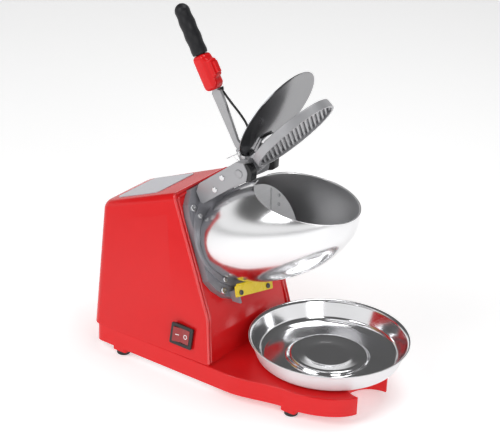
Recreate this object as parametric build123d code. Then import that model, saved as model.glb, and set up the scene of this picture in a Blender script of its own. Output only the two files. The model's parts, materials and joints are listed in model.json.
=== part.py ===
"""Electric shaved ice machine: a sloping housing on a long base, an oblique steel hopper on the
front, a lid and a lever-driven ice pusher hinged above its mouth, and a loose catch bowl.

Millimetres. While parts are made, +X runs towards the catch bowl, +Z is up, Z = 0 is the table
and X = 0 is the rear edge of the base. The finished set is then moved so that its origin is the
centre of the bottom of its bounding box."""
import math
import os

from build123d import *

# ---- base -------------------------------------------------------------------------------------
BASE_REAR = -5.0
BASE_LENGTH = 334.0            # x of the tips of the prongs
BASE_WIDTH = 172.0
SKIRT_BOTTOM = 12.0
BASE_TOP = 35.0
TONGUE_START = 192.0          # where the base starts to narrow under the bowl
TONGUE_WIDTH = 142.0
PRONG_GAP = 62.0              # width of the round notch between the two prongs
WALL = 3.0
FOOT_SPOTS = [(30.0, 75.0), (265.0, 61.0)]
FOOT_HEIGHT = 6.0
FOOT_RADIUS = 8.0

# ---- housing ----------------------------------------------------------------------------------
HOUSING_REAR = -9.0
HOUSING_FRONT = 163.0
REAR_HALF = 88.5              # half widths where the housing meets the base
FRONT_HALF = 84.5
ROOF_REAR = (-31.5, 170.2)    # x, z of the roof's rear edge
ROOF_FRONT = (81.5, 217.0)    # x, z of the roof's front edge
ROOF_REAR_HALF = 46.0
ROOF_FRONT_HALF = 53.0
HOUSING_CORNER = 10.0         # radius of the rounded rear corners
KINK = (153.0, 88.0)          # x, z where the lower front face meets the leaning front panel
SHELL = 2.5
PANEL_INSET = 2.0             # how far the front panel lies inside its raised rim
RIM_WIDTH = 6.5
INLET_AT = (30.0, 56.0)        # y, z of the mains inlet on the rear wall

# ---- head: everything on the leaning front panel shares this axis --------------------------------
LEAN = math.degrees(math.atan2(KINK[0] - ROOF_FRONT[0], ROOF_FRONT[1] - KINK[1]))
HEAD_UP = 74.0                # distance of the shaft axis above the kink, along the panel
CASTING_THICK = 9.0
BOSS_REAR = -14.0              # the casting's bearing boss reaches this far behind the panel
FLANGE_RADIUS = 59.0
FLANGE_THICK = 3.0
CASTING_OUTLINE = [(70.0, 30.0), (56.0, 45.0), (42.0, 50.0), (8.0, 54.0), (-33.0, 60.0),
                   (-47.0, 53.0), (-60.0, 41.0), (-69.0, 22.0)]   # height along panel, half width

# ---- hopper: an ellipsoid along the shaft axis, open at a nearly level mouth --------------------
HOPPER_CENTRE = 84.0          # ahead of the panel, along the axis
HOPPER_DROP = 2.4             # its axis lies this far below the shaft's
HOPPER_LONG, HOPPER_TALL, HOPPER_WIDE = 111.0, 59.6, 71.6
HOPPER_SKIN = 1.0
MOUTH_CENTRE = (228.0, 239.0)
MOUTH_TILT = 6.6              # degrees, falling towards the front

# ---- cutter and motor ---------------------------------------------------------------------------
GUARD_ACROSS = -6.0           # the outlet and its guard sit a little to the near side
DISC_FRONT = 72.0             # ahead of the panel
DISC_RADIUS = 50.0
DISC_THICK = 3.0
BLADE_TURN = -33.4            # turn of the two blades about the shaft, at rest
BLADE_SCREWS = [31.0, 42.0]
SHAFT_RADIUS = 5.0
DRUM_RADIUS = 39.5            # casing behind the disc that gathers the shavings
RUN_FIT = 0.05

# ---- hinge group --------------------------------------------------------------------------------
PIVOT = (155.0, 256.0)
PIN_RADIUS = 3.0
ARM_INNER, ARM_OUTER = 16.0, 28.0
PUSHER_ANGLE = 52.0
PUSHER_REACH = 76.0
PUSHER_RADIUS = 53.0
PUSHER_FACE = -11.5           # face level below the radial line
LID_ANGLE = 65.0
LID_REACH = 77.0
LID_RADIUS = 60.0
LID_LIFT = 3.5
LID_SKIN = 1.2
HANDLE_ANGLE = 121.5
GRIP_RADIUS = 9.2
GRIP_LENGTH = 62.0
CABLE_RADIUS = 1.4
CABLE_ROUTE = [(104.0, 5.5, 333.2), (113.0, 6.0, 324.3), (127.5, 6.3, 312.8), (140.0, 6.6, 300.5),
               (145.6, 6.4, 285.0), (149.3, 6.0, 269.1)]

# ---- catch bowl ---------------------------------------------------------------------------------
BOWL_CENTRE = (258.0, 22.0)   # the loose bowl stands a little towards the far side
BOWL_RIM_RADIUS = 94.5
BOWL_FOOT_RADIUS = 84.0
BOWL_HEIGHT = 27.5
BOWL_SKIN = 0.8

# ---- power switch -------------------------------------------------------------------------------
SWITCH_AT = (122.0, 59.0)     # x, z on the near side
SWITCH_SIZE = (31.0, 25.5)
ROCKER_PIVOT = -0.5           # height of the rocker's pins over the housing wall

BOTTOM = (Align.CENTER, Align.CENTER, Align.MIN)
head_origin = (KINK[0] - HEAD_UP * math.sin(math.radians(LEAN)), 0,
               KINK[1] + HEAD_UP * math.cos(math.radians(LEAN)))
AXIS = (math.cos(math.radians(LEAN)), 0, math.sin(math.radians(LEAN)))
UP_PANEL = (-AXIS[2], 0, AXIS[0])
HEAD = Plane(origin=head_origin, x_dir=UP_PANEL, z_dir=AXIS).location


def side_plate(points, y_from, y_to):
    """A plate with an outline given as (x, z) points, between two y values."""
    plane = Plane(origin=(0, y_to, 0), x_dir=(1, 0, 0), z_dir=(0, -1, 0))
    return plane * extrude(make_face(Polyline(*points, close=True)), y_to - y_from)


def rounded_plate(points, radius, y_from, y_to):
    """A side plate whose corners are rounded."""
    plane = Plane(origin=(0, y_to, 0), x_dir=(1, 0, 0), z_dir=(0, -1, 0))
    outline = make_face(Polyline(*points, close=True))
    outline = fillet(outline.vertices(), radius)
    return plane * extrude(outline, y_to - y_from)


def on_head(up, across, out):
    """A place on the head: up the panel, across it (+Y) and out from it."""
    return HEAD * Pos(up, -across, out)


def radial(angle):
    """A frame at the hinge pin: X runs outwards at the angle, Y is up from that line, Z is -Y."""
    a = math.radians(angle)
    return Plane(origin=(PIVOT[0], 0, PIVOT[1]), x_dir=(math.cos(a), 0, math.sin(a)),
                 z_dir=(0, -1, 0)).location


def on_arm(angle, reach, lift, across):
    """A place given as reach and lift from the pin at an angle; its Z axis points up (lift)."""
    return radial(angle) * Pos(reach, lift, -across) * Rot(-90, 0, 0)


def pan_screw(shank_radius, length, head_radius, head_height):
    """A pan-head screw pointing down, with its head's underside at Z = 0 and a cross recess."""
    head = Cylinder(head_radius, head_height, align=BOTTOM)
    head = fillet(head.edges().sort_by(Axis.Z)[-1], head_height * 0.45)
    for turn in (0, 90):
        head -= Pos(0, 0, head_height * 0.6) * Rot(0, 0, turn) * Box(
            head_radius * 1.1, head_radius * 0.28, head_height, align=BOTTOM)
    return head + Pos(0, 0, -length) * Cylinder(shank_radius, length, align=BOTTOM)


# ---- base pieces --------------------------------------------------------------------------------
def base_outline(inset):
    """Plan outline of the base, moved inwards by the inset."""
    half, tongue = BASE_WIDTH / 2 - inset, TONGUE_WIDTH / 2 - inset
    rear, corner = BASE_REAR + inset, 10.0
    tip_x, tip_y = BASE_LENGTH - inset, PRONG_GAP / 2 + inset
    notch = PRONG_GAP / 2 + inset
    shoulder = TONGUE_START + 74.0
    near = [Line((rear + corner, -half), (TONGUE_START, -half)),
            Spline((TONGUE_START, -half), (shoulder, -tongue), tangents=[(1, 0), (1, 0)],
                   tangent_scalars=[0.9, 0.9]),
            Spline((shoulder, -tongue), (tip_x, -tip_y), tangents=[(1, 0), (0.25, 1)],
                   tangent_scalars=[1.1, 0.8])]
    notch_arc = ThreePointArc((tip_x, -tip_y), (BASE_LENGTH - notch, 0), (tip_x, tip_y))
    far = [edge.mirror(Plane.XZ) for edge in near]
    rear_edges = [ThreePointArc((rear + corner, -half), (rear + corner * 0.293, -half + corner * 0.293),
                                (rear, -half + corner)),
                  Line((rear, -half + corner), (rear, half - corner)),
                  ThreePointArc((rear, half - corner), (rear + corner * 0.293, half - corner * 0.293),
                                (rear + corner, half))]
    return make_face(Wire(near + [notch_arc] + far + rear_edges))


def base_tray():
    height = BASE_TOP - SKIRT_BOTTOM
    body = Pos(0, 0, SKIRT_BOTTOM) * extrude(base_outline(0), height)
    top_edges = body.edges().group_by(Axis.Z)[-1]
    body = fillet(top_edges, 1.6)
    body -= Pos(0, 0, SKIRT_BOTTOM - 1) * extrude(base_outline(WALL), height - WALL + 1)
    well = Pos(HOUSING_FRONT / 2 - 2, 0, BASE_TOP - 2 * WALL) * Box(
        HOUSING_FRONT - 30, BASE_WIDTH - 34, 4 * WALL)
    body -= well
    for x, y in FOOT_SPOTS:
        for side in (-1, 1):
            post = Pos(x, side * y, FOOT_HEIGHT) * Box(20, 18, BASE_TOP - WALL - FOOT_HEIGHT + 1,
                                                       align=BOTTOM)
            body += fillet(post.edges().filter_by(Axis.Z), 3)
    for x, y in FOOT_SPOTS:
        for side in (-1, 1):
            body -= Pos(x, side * y, FOOT_HEIGHT - 1) * Cylinder(2.0, 13, align=BOTTOM)
    return body


def rubber_feet():
    foot = Cylinder(FOOT_RADIUS, FOOT_HEIGHT, align=BOTTOM)
    foot = fillet(foot.edges().sort_by(Axis.Z)[0], 1.5)
    foot -= Cylinder(4.2, 3, align=BOTTOM)
    foot -= Cylinder(2.0, FOOT_HEIGHT, align=BOTTOM)
    return [Pos(x, side * y, 0) * foot for x, y in FOOT_SPOTS for side in (-1, 1)]


def foot_screws():
    screw = Rot(180, 0, 0) * pan_screw(1.9, 12, 3.6, 2.0)
    return [Pos(x, side * y, 3.0) * screw for x, y in FOOT_SPOTS for side in (-1, 1)]


def bottom_plate():
    length, width = 166.0, BASE_WIDTH - 2 * WALL - 6
    middle = BASE_REAR + WALL + 3 + length / 2
    plate = Pos(middle, 0, SKIRT_BOTTOM + 2) * Box(length, width, 1.2, align=BOTTOM)
    for x, y in FOOT_SPOTS[:1]:
        for side in (-1, 1):
            plate -= Pos(x, side * y, 0) * Box(21, 30, 60)
    for row in range(7):
        plate -= Pos(60 + row * 9, 0, SKIRT_BOTTOM) * Box(4, 60, 8)
    return plate


# ---- housing pieces -----------------------------------------------------------------------------
ROOF_SLOPE = math.degrees(math.atan2(ROOF_FRONT[1] - ROOF_REAR[1], ROOF_FRONT[0] - ROOF_REAR[0]))
ROOF_PLANE = Plane(origin=(ROOF_REAR[0], 0, ROOF_REAR[1]),
                   x_dir=(math.cos(math.radians(ROOF_SLOPE)), 0, math.sin(math.radians(ROOF_SLOPE))),
                   z_dir=(-math.sin(math.radians(ROOF_SLOPE)), 0, math.cos(math.radians(ROOF_SLOPE))))
ROOF_LENGTH = math.dist(ROOF_REAR, ROOF_FRONT)


def trapezoid(x_rear, x_front, half_rear, half_front, rear_radius, front_radius):
    face = make_face(Polyline((x_rear, -half_rear), (x_front, -half_front), (x_front, half_front),
                              (x_rear, half_rear), close=True))
    corners = face.vertices().sort_by(Axis.X)
    face = fillet(corners[:2], rear_radius)
    return fillet(face.vertices().sort_by(Axis.X)[-2:], front_radius)


def housing_envelope(inset):
    """The closed shape of the upper housing, moved inwards by the inset."""
    extra = 44.0                           # the roof section runs on past the leaning front panel
    growth = (ROOF_FRONT_HALF - ROOF_REAR_HALF) / ROOF_LENGTH
    front_half = ROOF_REAR_HALF + growth * (ROOF_LENGTH + extra)
    foot = Pos(0, 0, BASE_TOP - inset) * trapezoid(HOUSING_REAR + inset, HOUSING_FRONT - inset,
                                                   REAR_HALF - inset, FRONT_HALF - inset,
                                                   HOUSING_CORNER, 3)
    roof = trapezoid(inset, ROOF_LENGTH + extra - inset, ROOF_REAR_HALF - inset, front_half - inset,
                     HOUSING_CORNER, 3)
    roof = ROOF_PLANE.location * Pos(0, 0, -inset) * roof
    body = loft([foot, roof], ruled=True)
    cut = Plane(origin=(KINK[0] - inset, 0, KINK[1]), z_dir=AXIS)
    return split(body, bisect_by=cut, keep=Keep.BOTTOM)


def panel_recess():
    """What is cut from the front so that the panel lies inside a raised rim."""
    top, margin = HEAD_UP - 3.2, RIM_WIDTH
    upper = make_face(Polyline((-HEAD_UP, -(76.5 - margin)), (top, -(54.0 - margin)),
                               (top, 54.0 - margin), (-HEAD_UP, 76.5 - margin), close=True))
    upper = HEAD * Pos(0, 0, -PANEL_INSET) * extrude(upper, 30)
    fall = math.dist(KINK, (HOUSING_FRONT, BASE_TOP))
    drop = math.degrees(math.atan2(HOUSING_FRONT - KINK[0], KINK[1] - BASE_TOP))
    lower_plane = Plane(origin=(KINK[0], 0, KINK[1]),
                        x_dir=(-math.sin(math.radians(drop)), 0, math.cos(math.radians(drop))),
                        z_dir=(math.cos(math.radians(drop)), 0, math.sin(math.radians(drop)))).location
    lower = make_face(Polyline((-fall, -(84.0 - margin)), (0.5, -(76.5 - margin)),
                               (0.5, 76.5 - margin), (-fall, 84.0 - margin), close=True))
    lower = lower_plane * Pos(0, 0, -PANEL_INSET) * extrude(lower, 30)
    return upper + lower


def side_frame():
    """A place on the near side of the housing, with Z outwards, at the power switch."""
    share = (SWITCH_AT[1] - BASE_TOP) / (ROOF_FRONT[1] - BASE_TOP)
    low = REAR_HALF + (FRONT_HALF - REAR_HALF) * (SWITCH_AT[0] / HOUSING_FRONT)
    half = low + (ROOF_FRONT_HALF - low) * share
    lean = math.degrees(math.atan2(low - ROOF_FRONT_HALF, ROOF_FRONT[1] - BASE_TOP))
    return Pos(SWITCH_AT[0], -half, SWITCH_AT[1]) * Rot(90 - lean, 0, 0)


def rear_frame():
    """A place on the leaning rear wall, with Z outwards, where the mains lead enters."""
    lean = math.degrees(math.atan2(HOUSING_REAR - ROOF_REAR[0], ROOF_REAR[1] - BASE_TOP))
    x = HOUSING_REAR - (INLET_AT[1] - BASE_TOP) * math.tan(math.radians(lean))
    return Pos(x, INLET_AT[0], INLET_AT[1]) * Rot(0, -90 - lean, 0)


def housing_shell():
    body = housing_envelope(0)
    body -= panel_recess()
    body -= Pos(0, 0, -0.01) * housing_envelope(SHELL + PANEL_INSET)
    body -= on_head(0, 0, -20) * Cylinder(24, 40)
    for up, across in casting_screw_spots():
        body -= on_head(up, across, 0) * Cylinder(2.1, 30)
    body -= side_frame() * Box(SWITCH_SIZE[0] - 4, SWITCH_SIZE[1] - 4, 24)
    for row in range(6):
        body -= Pos(HOUSING_REAR - 8, 0, 82 + row * 9) * Box(40, 56, 3.5)
        body -= Pos(46 + row * 11, 80, 84) * Rot(0, 14, 0) * Box(4, 60, 34)
    body -= rear_frame() * Cylinder(7.05, 30)
    return body


def roof_plate():
    plate = ROOF_PLANE.location * Pos(ROOF_LENGTH * 0.42, 0, 0.02) * extrude(
        fillet(Rectangle(66, 72).vertices(), 6), 1.0)
    return plate


def inlet_bush():
    bush = Cylinder(10, 3, align=BOTTOM) + Pos(0, 0, 3) * Cone(8.5, 6, 7, align=BOTTOM)
    bush += Pos(0, 0, -5) * Cylinder(7, 5, align=BOTTOM)
    bush -= Cylinder(3.6, 40)
    return rear_frame() * bush


# ---- power switch -------------------------------------------------------------------------------
def switch_bezel():
    frame = Pos(0, 0, 0.2) * extrude(fillet(Rectangle(*SWITCH_SIZE).vertices(), 1.5), 2.2)
    frame += Pos(0, 0, -14) * Box(SWITCH_SIZE[0] - 4.4, SWITCH_SIZE[1] - 4.4, 14.2, align=BOTTOM)
    frame -= Pos(0, 0, -9) * Box(SWITCH_SIZE[0] - 8, SWITCH_SIZE[1] - 7.4, 20, align=BOTTOM)
    return side_frame() * frame


def switch_rocker():
    length, width = SWITCH_SIZE[0] - 8.8, SWITCH_SIZE[1] - 8.2
    half = length / 2
    profile = Polyline((-half, -2.5), (half, -2.5), (half, 1.4), (0, 0.2), (-half, 3.4), close=True)
    rocker = extrude(Plane.XZ * make_face(profile), width / 2, both=True)
    rocker += Pos(0, 0, ROCKER_PIVOT - 1.0) * Rot(90, 0, 0) * Cylinder(0.9, width + 0.7)
    return side_frame() * Pos(0, 0, 1.0) * rocker


# ---- head pieces --------------------------------------------------------------------------------
def casting_screw_spots():
    return [(50.0, -40.0), (50.0, 40.0), (-52.0, -43.0), (-52.0, 43.0)]


def flange_screw_spots():
    return [(38.6, -37.0), (38.6, 37.0), (-41.0, -37.0), (-41.0, 37.0)]


def casting_face(shrink):
    near = [(up, -(half - shrink)) for up, half in CASTING_OUTLINE]
    far = [(up, half - shrink) for up, half in reversed(CASTING_OUTLINE)]
    return make_face(Polyline(*near, *far, close=True))


def front_casting():
    """Grey plate on the panel, with the bearing boss, the shavings drum and its outlet below."""
    plate = HEAD * Pos(0, 0, -PANEL_INSET) * extrude(casting_face(0), CASTING_THICK + PANEL_INSET)
    plate -= on_head(0, 0, -20) * Cylinder(23.4, 20.0 - PANEL_INSET + 3, align=BOTTOM)
    boss = on_head(0, 0, BOSS_REAR) * Cylinder(23.4, CASTING_THICK - BOSS_REAR, align=BOTTOM)
    drum = on_head(0, 0, CASTING_THICK) * (
        Cylinder(DRUM_RADIUS, DISC_FRONT - DISC_THICK - 4 - CASTING_THICK, align=BOTTOM)
        - Cylinder(DRUM_RADIUS - 2.5, 200))
    outlet = on_head(-DRUM_RADIUS, 0, CASTING_THICK + 3) * Box(40, 46, 34, align=BOTTOM)
    plate = plate + boss + (drum - outlet)
    plate -= on_head(0, 0, -40) * Cylinder(SHAFT_RADIUS + 1, 90, align=BOTTOM)
    plate -= on_head(0, 0, BOSS_REAR - 0.1) * Cylinder(13, 9.1, align=BOTTOM)
    for up, across in casting_screw_spots() + flange_screw_spots():
        plate -= on_head(up, across, -4) * Cylinder(2.0, 30, align=BOTTOM)
    return plate


def casting_screws():
    screw = pan_screw(1.9, 13, 4.2, 2.6)
    return [on_head(up, across, CASTING_THICK) * screw for up, across in casting_screw_spots()]


def hopper_solid(inset):
    shape = scale(Sphere(1), by=(HOPPER_TALL - inset, HOPPER_WIDE - inset, HOPPER_LONG - inset))
    return on_head(-HOPPER_DROP, 0, HOPPER_CENTRE) * shape


def arm_notch():
    """Slot in the hopper's rear lip that the pusher arm swings down into."""
    return Pos(165, 0, 225) * Box(30, 18, 40, align=BOTTOM)


def mouth_cut():
    return Pos(MOUTH_CENTRE[0], 0, MOUTH_CENTRE[1]) * Rot(0, MOUTH_TILT, 0) * Box(
        400, 300, 120, align=BOTTOM)


def outlet_cut():
    """The slot low on the hopper through which the shavings fall."""
    return on_head(-54, GUARD_ACROSS, CASTING_THICK + FLANGE_THICK) * Box(30, 46, 10, align=BOTTOM)


def hopper():
    shell = hopper_solid(0) - hopper_solid(HOPPER_SKIN)
    behind = on_head(0, 0, CASTING_THICK) * Box(400, 300, 200, align=(Align.CENTER, Align.CENTER, Align.MAX))
    shell = shell - behind - mouth_cut()
    return shell - outlet_cut() - arm_notch()


def hopper_flange():
    """Clamp ring that holds the hopper's foot to the casting."""
    ring = on_head(0, 0, CASTING_THICK) * Cylinder(FLANGE_RADIUS, FLANGE_THICK, align=BOTTOM)
    ring = ring - hopper_solid(-0.15)
    for up, across in flange_screw_spots():
        ring -= on_head(up, across, 0) * Cylinder(2.0, 40)
    return ring


def flange_screws():
    screw = pan_screw(1.9, 9, 3.2, 2.2)
    spots = flange_screw_spots()
    return [on_head(up, across, CASTING_THICK + FLANGE_THICK) * screw for up, across in spots]


def outlet_guard():
    """Bent yellow plate that keeps fingers out of the outlet."""
    face = extrude(fillet(Rectangle(13, 66).vertices(), 1.5), 1.2)
    lip = Pos(6.2, 0, 0.6) * Rot(0, -35, 0) * Pos(1.5, 0, 0) * Box(3.6, 62, 1.2)
    guard = face + lip
    for across in (-24, 24):
        guard -= Pos(-2, across, 0) * Cylinder(1.6, 10)
    return guard_place() * guard


def guard_place():
    """The guard stands almost parallel to the panel, with its far end turned down a little."""
    return on_head(-64, GUARD_ACROSS, CASTING_THICK + 12.6) * Rot(0, 0, -11.5) * Rot(0, -9.5, 0)


def guard_screws():
    screw = pan_screw(1.5, 6, 3.0, 1.8)
    return [guard_place() * Pos(-2, across, 1.2) * screw for across in (-24, 24)]


def outlet_chute():
    """Two cheeks on the casting and the strip between them that the guard is screwed to."""
    cheek = Plane.XZ * make_face(Polyline((2.5, 0), (-9, 0), (-14, 10), (-14, 40), (2.5, 40), close=True))
    chute = guard_place() * Pos(-2, 0, -2.5) * Box(6, 60, 2.5, align=BOTTOM)
    for side in (-1, 1):
        place = on_head(-59, GUARD_ACROSS + side * 27, CASTING_THICK) * Pos(0, 1.5, 0)
        chute += place * extrude(cheek, 3)
    for across in (-24, 24):
        chute -= guard_place() * Pos(-2, across, 0) * Cylinder(1.55, 30)
    ahead = guard_place() * Pos(0, 0, -0.02) * Box(200, 200, 100, align=BOTTOM)
    return chute - ahead


# ---- cutter and drive ---------------------------------------------------------------------------
def blade_disc():
    disc = on_head(0, 0, DISC_FRONT - DISC_THICK) * Cylinder(DISC_RADIUS, DISC_THICK, align=BOTTOM)
    disc -= on_head(0, 0, DISC_FRONT - 10) * Cylinder(SHAFT_RADIUS + 0.02, 20)
    for turn in (0, 180):
        slot = Rot(0, 0, turn + BLADE_TURN) * Pos(30, -2.7, 0) * Box(36, 2.6, 30)
        disc -= on_head(0, 0, DISC_FRONT) * slot
        for x in BLADE_SCREWS:
            hole = Rot(0, 0, turn + BLADE_TURN) * Pos(x, -16, 0) * Cylinder(1.5, 30)
            disc -= on_head(0, 0, DISC_FRONT) * hole
    return disc


def cutter_blades():
    """Two blades screwed behind the disc, with their edges standing out of its slots."""
    back = -DISC_THICK - 0.02
    section = make_face(Polyline((-21, back - 1.3), (-3.2, back - 1.3), (-1.6, back + 0.4), (-1.6, 0.8),
                                 (-2.6, -0.6), (-2.9, back), (-21, back), close=True))
    blades = []
    for turn in (0, 180):
        blade = Pos(14, 0, 0) * extrude(Plane.YZ * section, 33)
        for x in BLADE_SCREWS:
            blade -= Pos(x, -16, 0) * Cylinder(1.5, 30)
        blades.append(on_head(0, 0, DISC_FRONT) * Rot(0, 0, turn + BLADE_TURN) * blade)
    return blades


def blade_screws():
    screw = pan_screw(1.4, 4.2, 2.2, 1.0)
    return [on_head(0, 0, DISC_FRONT + 0.01) * Rot(0, 0, turn + BLADE_TURN) * Pos(x, -16, 0) * screw
            for turn in (0, 180) for x in BLADE_SCREWS]


def drive_shaft():
    shaft = on_head(0, 0, -124) * Cylinder(SHAFT_RADIUS, 124 + DISC_FRONT, align=BOTTOM)
    return shaft


def disc_nut():
    nut = extrude(RegularPolygon(8, 6), 5) - Cylinder(SHAFT_RADIUS + 0.02, 20)
    collar = Cylinder(9, 5, align=BOTTOM) - Cylinder(SHAFT_RADIUS + 0.02, 20)
    return [on_head(0, 0, DISC_FRONT - DISC_THICK - 5) * collar,
            on_head(0, 0, DISC_FRONT - DISC_THICK - 10) * nut]


def bearing(out):
    """Ball bearing, drawn as one ring, that the shaft turns in with a running fit."""
    ring = Cylinder(12.9, 8, align=BOTTOM) - Cylinder(SHAFT_RADIUS + RUN_FIT, 40)
    return on_head(0, 0, out) * ring


MOTOR_FRONT = -40.0
STACK = 42.0


def motor_stator():
    stack = Cylinder(40, STACK, align=BOTTOM) - Cylinder(23.5, 200)
    for side in (-1, 1):
        stack -= Pos(side * 40, 0, 0) * Box(8, 200, 200)
        stack -= Pos(0, side * 29, 0) * Box(30, 9, 200)
    return on_head(0, 0, MOTOR_FRONT - STACK) * stack


def motor_coils():
    coils = []
    for side in (-1, 1):
        for out in (MOTOR_FRONT, MOTOR_FRONT - STACK - 9):
            coils.append(on_head(0, side * 29, out) * Box(28, 8, 9, align=BOTTOM))
    return coils


def motor_rotor():
    core = Cylinder(22.5, STACK, align=BOTTOM)
    for slot in range(12):
        core -= Rot(0, 0, slot * 30) * Pos(21, 0, 0) * Box(6, 2, 200)
    core -= Cylinder(SHAFT_RADIUS + 0.02, 400)
    return on_head(0, 0, MOTOR_FRONT - STACK) * core


def commutator():
    bars = Cylinder(12, 14, align=BOTTOM) - Cylinder(SHAFT_RADIUS + 0.02, 400)
    for slot in range(24):
        bars -= Rot(0, 0, slot * 15) * Pos(12, 0, 0) * Box(1.6, 0.6, 40)
    return on_head(0, 0, MOTOR_FRONT - STACK - 16) * bars


def motor_brushes():
    return [on_head(side * 17.2, 0, MOTOR_FRONT - STACK - 9) * Box(10, 6, 6) for side in (-1, 1)]


def front_bracket():
    """Motor front bracket: stands on the casting's boss and reaches back to the stack."""
    body = Pos(0, 0, BOSS_REAR - 4) * Box(76, 16, 4, align=BOTTOM)
    body += Pos(0, 0, BOSS_REAR - 4) * Cylinder(18, 4, align=BOTTOM)
    for side in (-1, 1):
        body += Pos(side * 36, 0, MOTOR_FRONT) * Box(4, 16, BOSS_REAR - 4 - MOTOR_FRONT, align=BOTTOM)
    body -= Pos(0, 0, -60) * Cylinder(SHAFT_RADIUS + 1, 60, align=BOTTOM)
    return on_head(0, 0, 0) * body


def rear_bracket():
    """Motor rear bracket: carries the rear bearing behind the commutator."""
    rear = MOTOR_FRONT - STACK
    body = Pos(0, 0, rear - 32) * Cylinder(16, 10, align=BOTTOM)
    body += Pos(0, 0, rear - 32) * Box(76, 16, 4, align=BOTTOM)
    for side in (-1, 1):
        body += Pos(side * 36, 0, rear - 28) * Box(4, 16, 28, align=BOTTOM)
    body -= Pos(0, 0, rear - 30) * Cylinder(12.95, 20, align=BOTTOM)
    body -= Pos(0, 0, rear - 60) * Cylinder(SHAFT_RADIUS + 1, 90, align=BOTTOM)
    return on_head(0, 0, 0) * body


def cooling_fan():
    rear = MOTOR_FRONT - STACK
    fan = Cylinder(10, 9, align=BOTTOM) + Cylinder(31, 1.5, align=BOTTOM)
    for blade in range(9):
        fan += Rot(0, 0, blade * 40) * Pos(20, 0, 0) * Rot(0, 0, 25) * Box(20, 1.6, 9, align=BOTTOM)
    fan -= Cylinder(SHAFT_RADIUS + 0.02, 60)
    return on_head(0, 0, rear - 45) * fan


# ---- hinge pieces -------------------------------------------------------------------------------
ARM_OUTLINE = [(94.0, 210.0), (105.5, 203.0), (128.0, 221.5), (145.0, 235.0), (158.0, 243.5),
               (170.0, 251.0), (172.0, 262.0), (164.0, 271.0), (152.0, 269.5), (99.0, 227.0)]


def hinge_arm(side):
    y_from, y_to = sorted((side * ARM_INNER, side * ARM_OUTER))
    arm = rounded_plate(ARM_OUTLINE, 2.0, y_from, y_to)
    arm -= radial(0) * Cylinder(PIN_RADIUS + 0.02, 100)
    behind = on_head(0, 0, CASTING_THICK) * Box(400, 400, 100, align=(Align.CENTER, Align.CENTER, Align.MAX))
    for x, z in ARM_RIVETS:
        arm -= Pos(x, 0, z) * Rot(90, 0, 0) * Cylinder(2.02, 100)
    return arm - behind - on_head(0, 0, 0) * Cylinder(FLANGE_RADIUS + 0.1, 12.3, align=BOTTOM)


ARM_RIVETS = [(132.0, 244.5), (122.5, 226.5)]


def casting_lug(side):
    """Lug that the hinge arm is riveted to, standing on the casting."""
    y_from, y_to = sorted((side * (ARM_INNER - 5), side * ARM_INNER))
    lug = side_plate([(88, 200), (104, 204), (127, 222), (139, 232), (141, 250), (96, 222)], y_from, y_to)
    behind = on_head(0, 0, CASTING_THICK - 1) * Box(400, 400, 100,
                                                    align=(Align.CENTER, Align.CENTER, Align.MAX))
    for x, z in ARM_RIVETS:
        lug -= Pos(x, 0, z) * Rot(90, 0, 0) * Cylinder(2.02, 100)
    over_flange = on_head(0, 0, CASTING_THICK - 2) * Cylinder(FLANGE_RADIUS + 0.3, FLANGE_THICK + 2.2,
                                                              align=BOTTOM)
    return lug - behind - over_flange


def arm_rivets():
    rivets = []
    for x, z in ARM_RIVETS:
        for side in (-1, 1):
            head = Cylinder(3.6, 1.6, align=BOTTOM)
            head = fillet(head.edges().sort_by(Axis.Z)[-1], 1.0)
            rivet = head + Pos(0, 0, -17) * Cylinder(2.0, 17, align=BOTTOM)
            rivets.append(Pos(x, side * ARM_OUTER, z) * Rot(-90 * side, 0, 0) * rivet)
    return rivets


def hinge_pin():
    return radial(0) * Cylinder(PIN_RADIUS, 2 * ARM_OUTER + 3)


def pin_caps():
    cap = Cylinder(6, 3, align=BOTTOM)
    cap = fillet(cap.edges().sort_by(Axis.Z)[-1], 1.6)
    cap -= Pos(0, 0, -0.5) * Cylinder(PIN_RADIUS + 0.02, 2, align=BOTTOM)
    return [Pos(PIVOT[0], side * ARM_OUTER, PIVOT[1]) * Rot(-90 * side, 0, 0) * cap for side in (-1, 1)]


def rod(start, end, radius):
    """A round rod between two points."""
    run = Vector(*end) - Vector(*start)
    return Plane(origin=start, z_dir=run).location * Cylinder(radius, run.length, align=BOTTOM)


def lid_spring():
    """Torsion spring beside the lid's near lug; both legs stand out to the rear."""
    wire = 0.6
    coil = Cylinder(5.5, 2.6) - Cylinder(4.4, 3)
    spring = Pos(PIVOT[0], -14.0, PIVOT[1]) * Rot(90, 0, 0) * coil
    for across, knee, end in ((-13.4, (143, 273), (127, 262)), (-14.7, (138, 268), (129, 270))):
        start = (PIVOT[0] - 2.9, across, PIVOT[1] + 4.05)
        bend = (knee[0], across, knee[1])
        spring += rod(start, bend, wire) + Pos(*bend) * Sphere(wire)
        spring += rod(bend, (end[0], across, end[1]), wire)
    return spring


def lid_plate():
    plate = Cylinder(LID_RADIUS, LID_SKIN, align=BOTTOM)
    plate = fillet(plate.edges(), 0.5)
    for reach in LID_RIVETS:
        plate -= Pos(reach - LID_REACH, 0, -1) * Cylinder(2.02, 6, align=BOTTOM)
    return on_arm(LID_ANGLE, LID_REACH, LID_LIFT, 0) * plate


LID_RIVETS = [27.0, 39.0]
LUG_INNER, LUG_OUTER = 9.0, 12.0


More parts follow.
